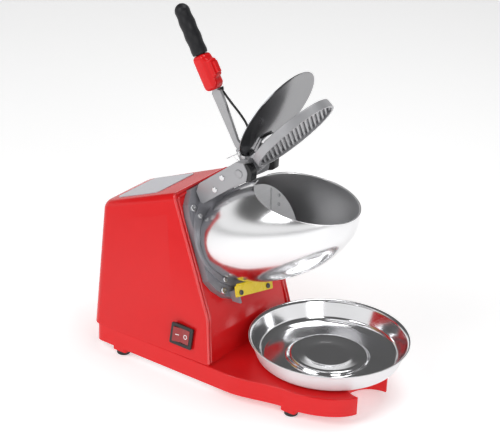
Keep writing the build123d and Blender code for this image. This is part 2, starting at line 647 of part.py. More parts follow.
def lid_hinge():
    place = radial(LID_ANGLE)
    plate = place * Pos(32, LID_LIFT - 0.8, 0) * Box(28, 1.6, 2 * LUG_OUTER)
    for side in (-1, 1):
        middle = side * (LUG_INNER + LUG_OUTER) / 2
        ring = place * Pos(0, 0, middle) * Cylinder(7, LUG_OUTER - LUG_INNER)
        web = extrude(make_face(Polyline((0, -6.5), (30, LID_LIFT - 3), (46, LID_LIFT - 1.6),
                                         (46, LID_LIFT), (18, LID_LIFT), (4, 5.6), close=True)),
                      LUG_OUTER - LUG_INNER)
        plate += ring + place * Pos(0, 0, middle - (LUG_OUTER - LUG_INNER) / 2) * web
    plate -= place * Cylinder(PIN_RADIUS + RUN_FIT, 100)
    for reach in LID_RIVETS:
        plate -= place * Pos(reach, 0, 0) * Rot(90, 0, 0) * Cylinder(2.02, 40)
    return plate


def lid_rivets():
    rivet = Cylinder(3.4, 1.4, align=BOTTOM)
    rivet = fillet(rivet.edges().sort_by(Axis.Z)[-1], 0.9)
    rivet += Pos(0, 0, -2.8) * Cylinder(2.0, 2.8, align=BOTTOM)
    return [on_arm(LID_ANGLE, reach, LID_LIFT + LID_SKIN, 0) * rivet for reach in LID_RIVETS]


def pusher_plate():
    """Shallow cup that presses the ice, with parallel ribs across its recessed face."""
    top = -1.0
    depth = top - PUSHER_FACE
    cup = Cylinder(PUSHER_RADIUS, depth, align=BOTTOM)
    cup = fillet(cup.edges().sort_by(Axis.Z)[-1], 1.5)
    cup -= Pos(0, 0, -1) * Cylinder(PUSHER_RADIUS - 3, 6.5, align=BOTTOM)
    grid = None
    pitch, height = 5.4, 3.6
    count = int((PUSHER_RADIUS - 4) / pitch)
    for row in range(-count, count + 1):
        bar = Pos(row * pitch, 0, 5.5 - height) * Box(2.2, 2 * PUSHER_RADIUS, height + 0.5, align=BOTTOM)
        grid = bar if grid is None else grid + bar
    grid &= Cylinder(PUSHER_RADIUS - 2.5, 40)
    cup += Rot(0, 0, PUSHER_RIB_TURN) * grid
    for reach in PUSHER_SCREWS:
        cup -= Pos(reach - PUSHER_REACH, 0, depth - 3) * Cylinder(2.0, 10, align=BOTTOM)
    return on_arm(PUSHER_ANGLE, PUSHER_REACH, PUSHER_FACE, 0) * cup


PUSHER_RIB_TURN = 42.0
PUSHER_SCREWS = [56.0, 86.0]
ARM_RIB_TOP = 3.5


def pusher_arm():
    """Hub on the pin, with the neck and rib that carry the pusher and the lug for the handle."""
    hub = radial(0) * Cylinder(8, 16)
    place = radial(PUSHER_ANGLE)
    rib = place * Pos(49, (ARM_RIB_TOP - 1) / 2, 0) * Box(88, ARM_RIB_TOP + 1, 10)
    near_rim = PUSHER_REACH - PUSHER_RADIUS
    neck = place * Pos((5 + near_rim) / 2, -5, 0) * Box(near_rim - 5 - 0.05, 8, 12)
    lug = radial(HANDLE_ANGLE) * Pos(15, 3.5, 4) * Box(20, 13, 4)
    arm = hub + rib + neck + lug
    arm -= radial(0) * Cylinder(PIN_RADIUS + RUN_FIT, 100)
    for reach, lift in HANDLE_SCREWS:
        arm -= radial(HANDLE_ANGLE) * Pos(reach, lift, 0) * Cylinder(1.55, 30)
    for reach in PUSHER_SCREWS:
        arm -= place * Pos(reach, 0, 0) * Rot(90, 0, 0) * Cylinder(2.0, 40)
    return arm


HANDLE_SCREWS = [(14.0, 2.0), (20.0, 7.0)]


def pusher_screws():
    screw = pan_screw(1.9, 7, 3.8, 2.2)
    return [on_arm(PUSHER_ANGLE, reach, ARM_RIB_TOP, 0) * screw for reach in PUSHER_SCREWS]


# ---- handle -------------------------------------------------------------------------------------
GRIP_LIFT = 7.6               # the grip's axis lies this far behind the radial line
HOUSING_REACH = (97.0, 140.0)
HOUSING_HALF = 9.4


def handle_arm():
    """Flat steel bar from the hub up through the switch housing into the grip."""
    outline = [(5, -5), (24, 1.5), (34, 5.5), (84, 0.5), (94, 0.5), (96, 3.6), (190, 3.6), (190, 11.6),
               (96, 11.6), (94, 13.5), (30, 12.5), (12, 8.5), (3, 8.5)]
    bar = radial(HANDLE_ANGLE) * Pos(0, 0, -2) * extrude(make_face(Polyline(*outline, close=True)), 4)
    bar -= radial(0) * Cylinder(8.02, 16.1)
    for reach, lift in HANDLE_SCREWS:
        bar -= radial(HANDLE_ANGLE) * Pos(reach, lift, 0) * Cylinder(1.55, 30)
    return bar


def handle_screws():
    screw = pan_screw(1.5, 8, 2.9, 1.8)
    return [radial(HANDLE_ANGLE) * Pos(reach, lift, 6.0) * screw for reach, lift in HANDLE_SCREWS]


def switch_housing(side):
    """One half of the red switch housing; side -1 is the near half."""
    low, high = HOUSING_REACH
    middle = (low + high) / 2
    body = Pos(middle, GRIP_LIFT, 0) * Box(high - low, 2 * HOUSING_HALF, 2 * HOUSING_HALF)
    body = fillet(body.edges().filter_by(Axis.X), 6)
    hump = Pos(middle + 2, GRIP_LIFT - HOUSING_HALF - 1, 0) * Box(24, 9, 14)
    body += fillet(hump.edges().filter_by(Axis.Y) + hump.edges().filter_by(Axis.X), 3)
    body -= Pos(middle + 2, GRIP_LIFT - HOUSING_HALF - 2, 0) * Box(14.2, 12, 7.2)
    body -= Pos(middle + 2, 2.4, 0) * Box(26, 8, 11)
    body -= Pos(middle, GRIP_LIFT, 0) * Box(high - low + 2, 8.2, 4.1)
    body -= Pos(low + 3, GRIP_LIFT - HOUSING_HALF + 4, -5) * Rot(0, 90, 0) * Cylinder(1.5, 20)
    half = Box(200, 200, 60, align=(Align.CENTER, Align.CENTER, Align.MIN if side < 0 else Align.MAX))
    return radial(HANDLE_ANGLE) * (body & (Pos(middle, 0, 0) * half))


def trigger():
    low, high = HOUSING_REACH
    button = Pos((low + high) / 2 + 2, GRIP_LIFT - HOUSING_HALF - 4.2, 0) * Box(13.8, 7, 6.8)
    button = fillet(button.edges().sort_by(Axis.Y)[:4], 1.2)
    return radial(HANDLE_ANGLE) * button


def micro_switch():
    low, high = HOUSING_REACH
    return radial(HANDLE_ANGLE) * Pos((low + high) / 2 + 2, 1.4, 0) * Box(20, 4.1, 6.4)


def grip():
    low = HOUSING_REACH[1]
    body = Cylinder(GRIP_RADIUS, GRIP_LENGTH - GRIP_RADIUS, align=BOTTOM)
    body += Pos(0, 0, GRIP_LENGTH - GRIP_RADIUS) * Sphere(GRIP_RADIUS)
    body += Cylinder(GRIP_RADIUS + 1.2, 3, align=BOTTOM)
    for ring in range(9):
        body -= Pos(0, 0, 9 + ring * 4.6) * Torus(GRIP_RADIUS + 0.9, 1.5)
    body = radial(HANDLE_ANGLE) * Pos(low, GRIP_LIFT, 0) * Rot(0, 90, 0) * body
    tang = radial(HANDLE_ANGLE) * Pos(low + 20, GRIP_LIFT, 0) * Box(61, 8.1, 4.1)
    return body - tang


def cable_glands():
    """Strain reliefs at the cable's two ends: below the switch housing and on the hub."""
    upper = radial(HANDLE_ANGLE) * Pos(HOUSING_REACH[0], 3.2, -5.5) * Rot(0, -90, 0) * Cone(
        2.9, 2.0, 4.2, align=BOTTOM)
    lower = radial(114) * Pos(7.6, 0, -6) * Rot(0, 90, 0) * Cone(2.9, 2.0, 6.0, align=BOTTOM)
    return [upper, lower - radial(0) * Cylinder(8.02, 16.1)]


def handle_cable():
    points = [Vector(*point) for point in CABLE_ROUTE]
    runs = [(b - a).length for a, b in zip(points, points[1:])]
    radii = []
    for before, after, run_a, run_b in zip(
            [b - a for a, b in zip(points, points[1:])], [b - a for a, b in zip(points[1:], points[2:])],
            runs, runs[1:]):
        turn = math.radians(before.get_angle(after))
        radii.append(0.45 * min(run_a, run_b) / math.tan(turn / 2))
    print("cable radii", [round(r, 1) for r in radii], "length", round(sum(runs), 1))
    path = FilletPolyline(*points, radius=radii)
    profile = Plane(origin=path @ 0, z_dir=path % 0) * Circle(CABLE_RADIUS)
    return sweep(profile, path=path)


# ---- bowl ---------------------------------------------------------------------------------------
def catch_bowl():
    foot, rim, tall, skin = BOWL_FOOT_RADIUS, BOWL_RIM_RADIUS, BOWL_HEIGHT, BOWL_SKIN
    under = [(0, 2.2), (26, 2.2), (32, 3.6), (42, 5.4), (46, 4.6), (48, 0), (foot - 6, 0), (foot - 0.5, 3.5),
             (rim - 2.6, tall - 1.6), (rim, tall - 0.8)]
    over = [(rim, tall), (rim - 3.4, tall - 0.6), (foot - 1.4, 4.2), (foot - 6.4, skin), (48.6, skin),
            (46.5, 5.6), (42, 6.3), (31.6, 4.5), (25.6, 3.1), (0, 3.1)]
    bowl = revolve(Plane.XZ * make_face(Polyline(*under, *over, close=True)), axis=Axis.Z)
    return Pos(BOWL_CENTRE[0], BOWL_CENTRE[1], BASE_TOP) * bowl


def build():
    """Every node of the machine, keyed by name, in the making frame."""
    casting = front_casting() + casting_lug(-1) + casting_lug(1)
    return {
        "base_tray": base_tray(), "rubber_feet": rubber_feet(), "foot_screws": foot_screws(),
        "bottom_plate": bottom_plate(), "housing_shell": housing_shell(), "roof_plate": roof_plate(),
        "inlet_bush": inlet_bush(), "switch_bezel": switch_bezel(), "switch_rocker": switch_rocker(),
        "front_casting": casting, "casting_screws": casting_screws(), "hopper": hopper(),
        "hopper_flange": hopper_flange(), "flange_screws": flange_screws(),
        "outlet_guard": outlet_guard(), "guard_screws": guard_screws(),
        "outlet_chute": outlet_chute(),
        "blade_disc": blade_disc(), "cutter_blades": cutter_blades(), "blade_screws": blade_screws(),
        "drive_shaft": drive_shaft(), "disc_nuts": disc_nut(),
        "front_bearing": bearing(-13.1), "rear_bearing": bearing(MOTOR_FRONT - STACK - 30),
        "motor_front_bracket": front_bracket(), "motor_rear_bracket": rear_bracket(),
        "motor_stator": motor_stator(), "motor_coils": motor_coils(), "motor_rotor": motor_rotor(),
        "commutator": commutator(), "motor_brushes": motor_brushes(), "cooling_fan": cooling_fan(),
        "hinge_arm_near": hinge_arm(-1), "hinge_arm_far": hinge_arm(1), "arm_rivets": arm_rivets(),
        "hinge_pin": hinge_pin(), "pin_caps": pin_caps(), "lid_spring": lid_spring(),
        "lid": lid_plate(), "lid_hinge": lid_hinge(), "lid_rivets": lid_rivets(),
        "pusher_plate": pusher_plate(), "pusher_arm": pusher_arm(), "pusher_screws": pusher_screws(),
        "handle_arm": handle_arm(), "handle_screws": handle_screws(),
        "switch_housing_near": switch_housing(-1), "switch_housing_far": switch_housing(1),
        "trigger": trigger(), "micro_switch": micro_switch(), "grip": grip(),
        "cable_glands": cable_glands(), "handle_cable": handle_cable(), "catch_bowl": catch_bowl(),
    }


def as_shape(node):
    """A single shape from a node that is one shape or a list of separate ones."""
    return Compound(node) if isinstance(node, list) else node


def main():
    os.makedirs("parts", exist_ok=True)
    nodes = {name: as_shape(node) for name, node in build().items()}
    box = Compound(list(nodes.values())).bounding_box()
    home = Pos(-(box.min.X + box.max.X) / 2, -(box.min.Y + box.max.Y) / 2, -box.min.Z)
    print("moved by", home.position)
    for name, shape in nodes.items():
        export_step(home * shape, f"parts/{name}.step")


main()
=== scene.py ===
import json
import math

import bmesh
import bpy
from mathutils import Matrix, Vector


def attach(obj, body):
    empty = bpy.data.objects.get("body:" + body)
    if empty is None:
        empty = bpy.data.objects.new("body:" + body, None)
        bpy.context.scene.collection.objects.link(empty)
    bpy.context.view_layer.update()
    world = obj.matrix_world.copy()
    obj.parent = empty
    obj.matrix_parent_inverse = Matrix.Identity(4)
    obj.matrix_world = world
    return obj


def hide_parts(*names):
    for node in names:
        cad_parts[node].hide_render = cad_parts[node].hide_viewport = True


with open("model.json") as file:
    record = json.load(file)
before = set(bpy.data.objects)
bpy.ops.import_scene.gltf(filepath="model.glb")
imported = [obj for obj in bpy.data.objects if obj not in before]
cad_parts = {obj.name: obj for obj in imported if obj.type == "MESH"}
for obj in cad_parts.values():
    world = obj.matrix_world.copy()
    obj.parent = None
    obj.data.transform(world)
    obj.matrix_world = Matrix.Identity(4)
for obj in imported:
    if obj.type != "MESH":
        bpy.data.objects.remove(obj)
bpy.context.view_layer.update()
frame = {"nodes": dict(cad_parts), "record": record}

# ---- the making frame of the CAD, in millimetres, and its move to the row frame ------------------
MM = 0.001
SHIFT = Vector((-160.5, -14.1176, 0.0))
LEAN = math.atan2(153.0 - 81.5, 217.0 - 88.0)
AXIS = Vector((math.cos(LEAN), 0, math.sin(LEAN)))          # out of the leaning front panel
UP_PANEL = Vector((-AXIS.z, 0, AXIS.x))
HEAD = Vector((153.0 - 74.0 * math.sin(LEAN), 0, 88.0 + 74.0 * math.cos(LEAN)))
PIVOT = Vector((155.0, 0, 256.0))
HANDLE_ANGLE = 121.5
LID_ANGLE = 65.0
LID_REACH = 77.0                        # from the hinge pin to the middle of the lid
LID_LIFT = 3.5
GRIP_START = 140.0                      # from the hinge pin to the grip's lower end
GRIP_LIFT = 7.6


def row(point):
    """A point of the making frame, in the row frame."""
    return (Vector(point) + SHIFT) * MM


def head_point(up, across, out):
    return HEAD + UP_PANEL * up + Vector((0, across, 0)) + AXIS * out


def arm_point(angle, reach, lift, across):
    """A point at a reach and lift from the hinge pin, along a line at the angle."""
    a = math.radians(angle)
    along = Vector((math.cos(a), 0, math.sin(a)))
    normal = Vector((-math.sin(a), 0, math.cos(a)))
    return PIVOT + along * reach + normal * lift + Vector((0, across, 0))


# ---- camera -------------------------------------------------------------------------------------
CAMERA_PLACE = (1272.5, -1607.0, 1130.0)
CAMERA_AHEAD = (-0.5136, 0.7393, -0.4355)
CAMERA_RIGHT = (0.8092, 0.5861, 0.0405)
SENSOR_WIDTH = 36.0
LENS = 135.85


def make_camera():
    place = row(CAMERA_PLACE)
    ahead = Vector(CAMERA_AHEAD).normalized()
    right = Vector(CAMERA_RIGHT)
    right = (right - ahead * right.dot(ahead)).normalized()
    up = right.cross(ahead)
    data = bpy.data.cameras.new("camera")
    data.sensor_width = SENSOR_WIDTH
    data.lens = LENS
    data.shift_x = -0.0032
    data.shift_y = 0.0012
    data.clip_end = 20
    camera = bpy.data.objects.new("camera", data)
    camera.matrix_world = Matrix((
        (right.x, up.x, -ahead.x, place.x),
        (right.y, up.y, -ahead.y, place.y),
        (right.z, up.z, -ahead.z, place.z),
        (0, 0, 0, 1)))
    bpy.context.scene.collection.objects.link(camera)
    bpy.context.scene.camera = camera


make_camera()


# ---- materials ----------------------------------------------------------------------------------
def material(name, color, rough, metallic=0.0, scale=(60, 60, 60), bump=0.0, bump_scale=400.0,
             tint=0.06, coat=0.0, specular=0.5):
    """A surface whose roughness and colour wander over it, with a fine grain of bumps."""
    mat = bpy.data.materials.new(name)
    mat.use_nodes = True
    nodes, links = mat.node_tree.nodes, mat.node_tree.links
    shader = nodes["Principled BSDF"]
    shader.inputs["Metallic"].default_value = metallic
    shader.inputs["Coat Weight"].default_value = coat
    shader.inputs["Coat Roughness"].default_value = 0.06
    shader.inputs["Specular IOR Level"].default_value = specular
    where = nodes.new("ShaderNodeTexCoord")
    stretch = nodes.new("ShaderNodeMapping")
    stretch.inputs["Scale"].default_value = scale
    links.new(where.outputs["Object"], stretch.inputs["Vector"])
    wear = nodes.new("ShaderNodeTexNoise")
    wear.inputs["Detail"].default_value = 5
    links.new(stretch.outputs["Vector"], wear.inputs["Vector"])
    wear.inputs["Scale"].default_value = 1.0
    spread = nodes.new("ShaderNodeMapRange")
    spread.inputs["From Min"].default_value = 0.3
    spread.inputs["From Max"].default_value = 0.7
    spread.inputs["To Min"].default_value = rough[0]
    spread.inputs["To Max"].default_value = rough[1]
    links.new(wear.outputs["Fac"], spread.inputs["Value"])
    links.new(spread.outputs["Result"], shader.inputs["Roughness"])
    shade = nodes.new("ShaderNodeMix")
    shade.data_type = "RGBA"
    shade.inputs["A"].default_value = (*[c * (1 - tint) for c in color], 1)
    shade.inputs["B"].default_value = (*[min(1, c * (1 + tint)) for c in color], 1)
    links.new(wear.outputs["Fac"], shade.inputs["Factor"])
    links.new(shade.outputs["Result"], shader.inputs["Base Color"])
    if bump:
        grain = nodes.new("ShaderNodeTexNoise")
        grain.inputs["Scale"].default_value = bump_scale
        grain.inputs["Detail"].default_value = 3
        links.new(where.outputs["Object"], grain.inputs["Vector"])
        relief = nodes.new("ShaderNodeBump")
        relief.inputs["Strength"].default_value = bump
        relief.inputs["Distance"].default_value = 0.0004
        links.new(grain.outputs["Fac"], relief.inputs["Height"])
        links.new(relief.outputs["Normal"], shader.inputs["Normal"])
    return mat


LOOK = {
    "red_plastic": material("red_plastic", (0.72, 0.012, 0.014), (0.14, 0.2), bump=0.03, tint=0.03,
                            specular=0.32),
    "red_gloss": material("red_gloss", (0.74, 0.02, 0.022), (0.05, 0.09), tint=0.02, coat=1.0),
    "red_lens": material("red_lens", (0.3, 0.008, 0.01), (0.1, 0.2), coat=0.4),
    "rubber": material("rubber", (0.018, 0.018, 0.018), (0.6, 0.8), bump=0.3),
    "grip_rubber": material("grip_rubber", (0.008, 0.008, 0.01), (0.36, 0.5), bump=0.6,
                            bump_scale=1100, specular=0.35),
    "zinc_steel": material("zinc_steel", (0.72, 0.72, 0.73), (0.18, 0.32), 1.0, bump=0.05),
    "dark_steel": material("dark_steel", (0.12, 0.12, 0.13), (0.28, 0.42), 1.0, bump=0.05),
    "mirror_steel": material("mirror_steel", (0.8, 0.8, 0.815), (0.04, 0.08), 1.0, tint=0.01,
                             scale=(30, 30, 30)),
    "hopper_steel": material("hopper_steel", (0.86, 0.86, 0.87), (0.17, 0.21), 1.0, tint=0.01,
                             scale=(30, 30, 30)),
    "hopper_inside": material("hopper_inside", (0.82, 0.82, 0.83), (0.3, 0.4), 0.8, tint=0.03,
                              scale=(90, 20, 20)),
    "lid_steel": material("lid_steel", (0.24, 0.24, 0.25), (0.12, 0.18), 1.0, tint=0.02,
                          scale=(30, 30, 30)),
    "bowl_inside": material("bowl_inside", (0.84, 0.84, 0.855), (0.1, 0.16), 1.0, tint=0.01,
                            scale=(20, 20, 60)),
    "bowl_steel": material("bowl_steel", (0.8, 0.8, 0.82), (0.34, 0.42), 0.25, tint=0.02,
                           scale=(20, 20, 60)),
    "strip_steel": material("strip_steel", (0.4, 0.4, 0.41), (0.26, 0.34), 0.7, scale=(40, 40, 40),
                            bump=0.05),
    # blade_steel carries painted light: near-white and barely metallic, so the cutter disc reads bright
    # inside the hopper's shade
    "blade_steel": material("blade_steel", (0.93, 0.93, 0.94), (0.3, 0.4), 0.08, scale=(500, 40, 500),
                            bump=0.08),
    "grey_casting": material("grey_casting", (0.28, 0.28, 0.305), (0.32, 0.44), 0.3, bump=0.25,
                             bump_scale=700),
    "cast_aluminium": material("cast_aluminium", (0.4, 0.4, 0.415), (0.34, 0.46), 0.4, bump=0.25,
                               bump_scale=600),
    "label_grey": material("label_grey", (0.62, 0.62, 0.66), (0.3, 0.4), bump=0.04),
    "black_plastic": material("black_plastic", (0.015, 0.015, 0.016), (0.25, 0.38), bump=0.1),
    "yellow_paint": material("yellow_paint", (0.9, 0.66, 0.02), (0.22, 0.32), bump=0.06, coat=0.3),
    "copper": material("copper", (0.7, 0.32, 0.14), (0.25, 0.4), 1.0, scale=(40, 40, 400), bump=0.2),
    "carbon": material("carbon", (0.05, 0.05, 0.05), (0.5, 0.7), bump=0.2),
    "lamination": material("lamination", (0.2, 0.2, 0.21), (0.4, 0.55), 0.8, scale=(40, 40, 900),
                           bump=0.1),
    "white_mark": material("white_mark", (0.85, 0.85, 0.85), (0.3, 0.4)),
}


NODE_LOOK = {"handle_arm": "strip_steel"}


def dress_cad_nodes():
    """Every CAD node takes the material of its record slot, or its own where it has one."""
    slot_of = {part["node"]: part["material_slot"] for part in frame["record"]["subparts"]}
    for name, node in frame["nodes"].items():
        for holder in node.material_slots:
            holder.material = LOOK[NODE_LOOK.get(name, slot_of[name])]


dress_cad_nodes()


# ---- mesh helpers -------------------------------------------------------------------------------
def piece(name, verts, faces, slot, body, replaced=(), smooth_angle=35, look=None):
    """A mesh piece from making-frame points; it rides on a body and may replace CAD nodes."""
    mesh = bpy.data.meshes.new(name)
    mesh.from_pydata([row(v) for v in verts], [], faces)
    mesh.validate()
    obj = bpy.data.objects.new(name, mesh)
    bpy.context.scene.collection.objects.link(obj)
    clean = bmesh.new()
    clean.from_mesh(mesh)
    bmesh.ops.remove_doubles(clean, verts=clean.verts, dist=1e-7)
    bmesh.ops.recalc_face_normals(clean, faces=clean.faces)
    clean.to_mesh(mesh)
    clean.free()
    finish_piece(obj, slot, body, replaced, smooth_angle, look)
    return obj


def finish_piece(obj, slot, body, replaced=(), smooth_angle=35, look=None):
    obj.data.materials.clear()
    obj.data.materials.append(LOOK[look or slot])
    obj.data.shade_smooth()
    obj.data.set_sharp_from_angle(angle=math.radians(smooth_angle))
    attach(obj, body)
    if replaced:
        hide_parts(*replaced)


def grid_faces(rows, columns, closed=True):
    """Quads of a grid of rows by columns; closed joins the last column to the first."""
    faces = []
    last = columns if closed else columns - 1
    for r in range(rows - 1):
        for c in range(last):
            d = (c + 1) % columns
            faces.append((r * columns + c, r * columns + d, (r + 1) * columns + d, (r + 1) * columns + c))
    return faces


def rounded_line(points, radius, steps=6):
    """A polyline whose inner corners are rounded by arcs of up to the radius."""
    line = [Vector(points[0])]
    for before, corner, after in zip(points, points[1:], points[2:]):
        before, corner, after = Vector(before), Vector(corner), Vector(after)
        size = min(radius, (before - corner).length * 0.45, (after - corner).length * 0.45)
        start = corner + (before - corner).normalized() * size
        end = corner + (after - corner).normalized() * size
        for i in range(steps + 1):
            t = i / steps
            line.append(start * (1 - t) ** 2 + corner * 2 * t * (1 - t) + end * t * t)
    line.append(Vector(points[-1]))
    return line


def lathe(profile, place, columns, capped=False):
    """Points and faces of a profile of (radius, height), turned; place maps (x, y, z) to a point."""
    verts = []
    for radius, height in profile:
        for c in range(columns):
            turn = 2 * math.pi * c / columns
            verts.append(place(radius * math.cos(turn), radius * math.sin(turn), height))
    faces = grid_faces(len(profile), columns)
    if capped:
        faces.append(tuple(range(columns)))
        faces.append(tuple((len(profile) - 1) * columns + c for c in range(columns)))
    return verts, faces


def tube(path, radius, sides=12):
    """Points and faces of a wire along a path of making-frame points, with closed ends."""
    verts = []
    side = Vector((0, 1, 0))
    for i, point in enumerate(path):
        ahead = (path[min(i + 1, len(path) - 1)] - path[max(i - 1, 0)]).normalized()
        first = side - ahead * side.dot(ahead)
        if first.length < 0.2:
            first = Vector((0, 0, 1)) - ahead * ahead.z
        first.normalize()
        second = ahead.cross(first)
        for s in range(sides):
            turn = 2 * math.pi * s / sides
            verts.append(point + (first * math.cos(turn) + second * math.sin(turn)) * radius)
    faces = grid_faces(len(path), sides)
    faces.append(tuple(range(sides)))
    faces.append(tuple((len(path) - 1) * sides + s for s in range(sides)))
    return verts, faces


def baked(obj):
    """Replaces an object's mesh by what its modifiers make of it."""
    graph = bpy.context.evaluated_depsgraph_get()
    graph.update()
    mesh = bpy.data.meshes.new_from_object(obj.evaluated_get(graph))
    obj.modifiers.clear()
    obj.data = mesh


def cut(obj, boxes):
    """Cuts boxes, given as (matrix, size) in the making frame, or cylinders (matrix, radius, depth)."""
    tool = bmesh.new()
    for place, *size in boxes:
        if len(size) == 1:
            scaled = place @ Matrix.Diagonal((*size[0], 1))
            bmesh.ops.create_cube(tool, size=1, matrix=scaled)
        else:
            bmesh.ops.create_cone(tool, cap_ends=True, segments=96, radius1=size[0], radius2=size[0],
                                  depth=size[1], matrix=place)
    for vert in tool.verts:
        vert.co = row(vert.co)
    mesh = bpy.data.meshes.new("cutter")
    tool.to_mesh(mesh)
    tool.free()
    cutter = bpy.data.objects.new("cutter", mesh)
    bpy.context.scene.collection.objects.link(cutter)
    modifier = obj.modifiers.new("cut", "BOOLEAN")
    modifier.operation = "DIFFERENCE"
    modifier.solver = "EXACT"
    modifier.object = cutter
    baked(obj)
    bpy.data.objects.remove(cutter)


def frame_matrix(origin, x_axis, z_axis):
    y_axis = z_axis.cross(x_axis)
    return Matrix(((x_axis.x, y_axis.x, z_axis.x, origin.x), (x_axis.y, y_axis.y, z_axis.y, origin.y),
                   (x_axis.z, y_axis.z, z_axis.z, origin.z), (0, 0, 0, 1)))


# ---- housing ------------------------------------------------------------------------------------
ROOF_EDGE_RADIUS = 8.0
BEAD_RADIUS = 1.6
BEAD_INSETS = (1.2, 5.4)                # from the panel's edge to each of its two beads


def make_housing():
    """Leaning shell with round rear corners and soft roof edges."""
    corners = {
        "foot_rear": (-9.0, 88.5, 35.05), "foot_front": (163.0, 84.5, 35.05), "kink": (153.0, 76.5, 88.0),
        "roof_front": (81.5, 53.0, 217.0), "roof_rear": (-31.5, 46.0, 170.2)}
    mesh = bmesh.new()
    near = {key: mesh.verts.new((x, -y, z)) for key, (x, y, z) in corners.items()}
    far = {key: mesh.verts.new((x, y, z)) for key, (x, y, z) in corners.items()}
    order = ["foot_rear", "foot_front", "kink", "roof_front", "roof_rear"]
    mesh.faces.new([near[key] for key in order])
    mesh.faces.new([far[key] for key in reversed(order)])
    for a, b in zip(order, order[1:] + order[:1]):
        face = mesh.faces.new([near[b], near[a], far[a], far[b]])
        if (a, b) == ("foot_rear", "foot_front"):
            floor_face = face
    bmesh.ops.recalc_face_normals(mesh, faces=mesh.faces)

    def edge(a, b):
        return mesh.edges.get((a, b))

    bmesh.ops.delete(mesh, geom=[floor_face], context="FACES_ONLY")
    rear = [edge(side["foot_rear"], side["roof_rear"]) for side in (near, far)]
    bmesh.ops.bevel(mesh, geom=rear, offset=13.0, segments=8, affect="EDGES", profile=0.5)
    mesh.normal_update()
    roof = [e for e in mesh.edges
            if len(e.link_faces) == 2
            and e.calc_face_angle() > math.radians(25)
            and all(v.co.z > 169 for v in e.verts)
            and min(v.co.x for v in e.verts) < 80]
    bmesh.ops.bevel(mesh, geom=roof, offset=ROOF_EDGE_RADIUS, segments=7, affect="EDGES", profile=0.5,
                    clamp_overlap=True)
    data = bpy.data.meshes.new("housing")
    for vert in mesh.verts:
        vert.co = row(vert.co)
    mesh.to_mesh(data)
    mesh.free()
    obj = bpy.data.objects.new("housing", data)
    bpy.context.scene.collection.objects.link(obj)
    soften = obj.modifiers.new("soften", "BEVEL")
    soften.width = 0.9 * MM
    soften.segments = 3
    soften.limit_method = "ANGLE"
    soften.angle_limit = math.radians(24)
    wall = obj.modifiers.new("wall", "SOLIDIFY")
    wall.thickness = 2.2 * MM
    wall.offset = -1
    baked(obj)
    slots = []
    for step in range(6):
        slots.append((Matrix.Translation((-17, 0, 82 + step * 9)), (40, 56, 3.5)))
        lean = Matrix.Rotation(math.radians(14), 4, "Y")
        slots.append((Matrix.Translation((46 + step * 11, 80, 84)) @ lean, (4, 60, 34)))
    slots.append((Matrix.Translation((122, -84, 59)), (27, 24, 21.5)))
    slots.append((frame_matrix(HEAD - AXIS * 2, UP_PANEL, AXIS), 24.0, 40.0))
    inlet = Matrix.Translation((-12.5, 30, 56)) @ Matrix.Rotation(math.radians(80.5), 4, "Y")
    slots.append((inlet, 7.05, 30))
    cut(obj, slots)
    finish_piece(obj, "red_plastic", "machine", ("housing_shell",), 40)


make_housing()


# ---- hopper -------------------------------------------------------------------------------------
MOUTH = Vector((228.0, 0, 239.0))
MOUTH_TILT = math.radians(6.6)
MOUTH_NORMAL = Vector((math.sin(MOUTH_TILT), 0, math.cos(MOUTH_TILT)))
HOPPER_SIZE = (59.6, 71.6, 111.0)       # tall, wide, long half axes
HOPPER_START = 75.0 / 111.0             # cosine of the meridian angle where it leaves the casting


def hopper_at(theta, phi, inset):
    tall, wide, length = (size - inset for size in HOPPER_SIZE)
    return head_point(-2.4 + tall * math.sin(theta) * math.cos(phi), wide * math.sin(theta) * math.sin(phi),
                      84.0 - length * math.cos(theta))


def mouth_angle(phi):
    """Where the meridian at phi meets the plane of the mouth."""
    low, high = math.acos(HOPPER_START), math.pi - 0.001
    for _ in range(40):
        middle = (low + high) / 2
        if (hopper_at(middle, phi, 0) - MOUTH).dot(MOUTH_NORMAL) > 0:
            high = middle
        else:
            low = middle
    return low


def make_hopper():
    """Egg-shaped shell, open at its slanting mouth, polished outside and duller inside."""
    columns, rows, skin = 180, 56, 1.1
    start = math.acos(HOPPER_START)
    verts = []
    ends = [mouth_angle(2 * math.pi * c / columns) for c in range(columns)]
    for r in range(rows + 1):
        for c in range(columns):
            theta = start + (ends[c] - start) * (1 - (1 - r / rows) ** 1.3)
            verts.append(hopper_at(theta, 2 * math.pi * c / columns, 0))
    for r in range(1, 8):
        roll = math.pi * r / 8
        for c in range(columns):
            phi = 2 * math.pi * c / columns
            depth = skin / 2 - (skin / 2 + 0.5) * math.cos(roll)
            lip = hopper_at(ends[c], phi, depth)
            verts.append(lip + MOUTH_NORMAL * 0.8 * math.sin(roll))
    for r in range(rows, -1, -1):
        for c in range(columns):
            theta = start + (ends[c] - start) * (1 - (1 - r / rows) ** 1.3)
            verts.append(hopper_at(theta, 2 * math.pi * c / columns, skin))
    count = 2 * (rows + 1) + 7
    faces = grid_faces(count, columns)
    faces += [(c, (count - 1) * columns + c, (count - 1) * columns + (c + 1) % columns, (c + 1) % columns)
              for c in range(columns)]
    obj = piece("hopper_shell", verts, faces, "mirror_steel", "machine")
    outlet = frame_matrix(head_point(-54, -6, 17), UP_PANEL, AXIS)
    cut(obj, [(Matrix.Translation((165, 0, 245)), (30, 18, 40)), (outlet, (30, 46, 10))])
    finish_piece(obj, "mirror_steel", "machine", ("hopper",), 40, "hopper_steel")
    obj.data.materials.append(LOOK["hopper_inside"])
    centre = row(head_point(-2.4, 0, 84.0))
    for face in obj.data.polygons:
        outwards = face.normal.dot(face.center - centre)
        face.material_index = 0 if outwards > 0 else 1


make_hopper()


# ---- catch bowl ---------------------------------------------------------------------------------
BOWL_FOOT = Vector((258.0, 22.0, 35.0))
BOWL_WALL_FROM = 75.0                   # distance from the bowl's axis where its wall begins


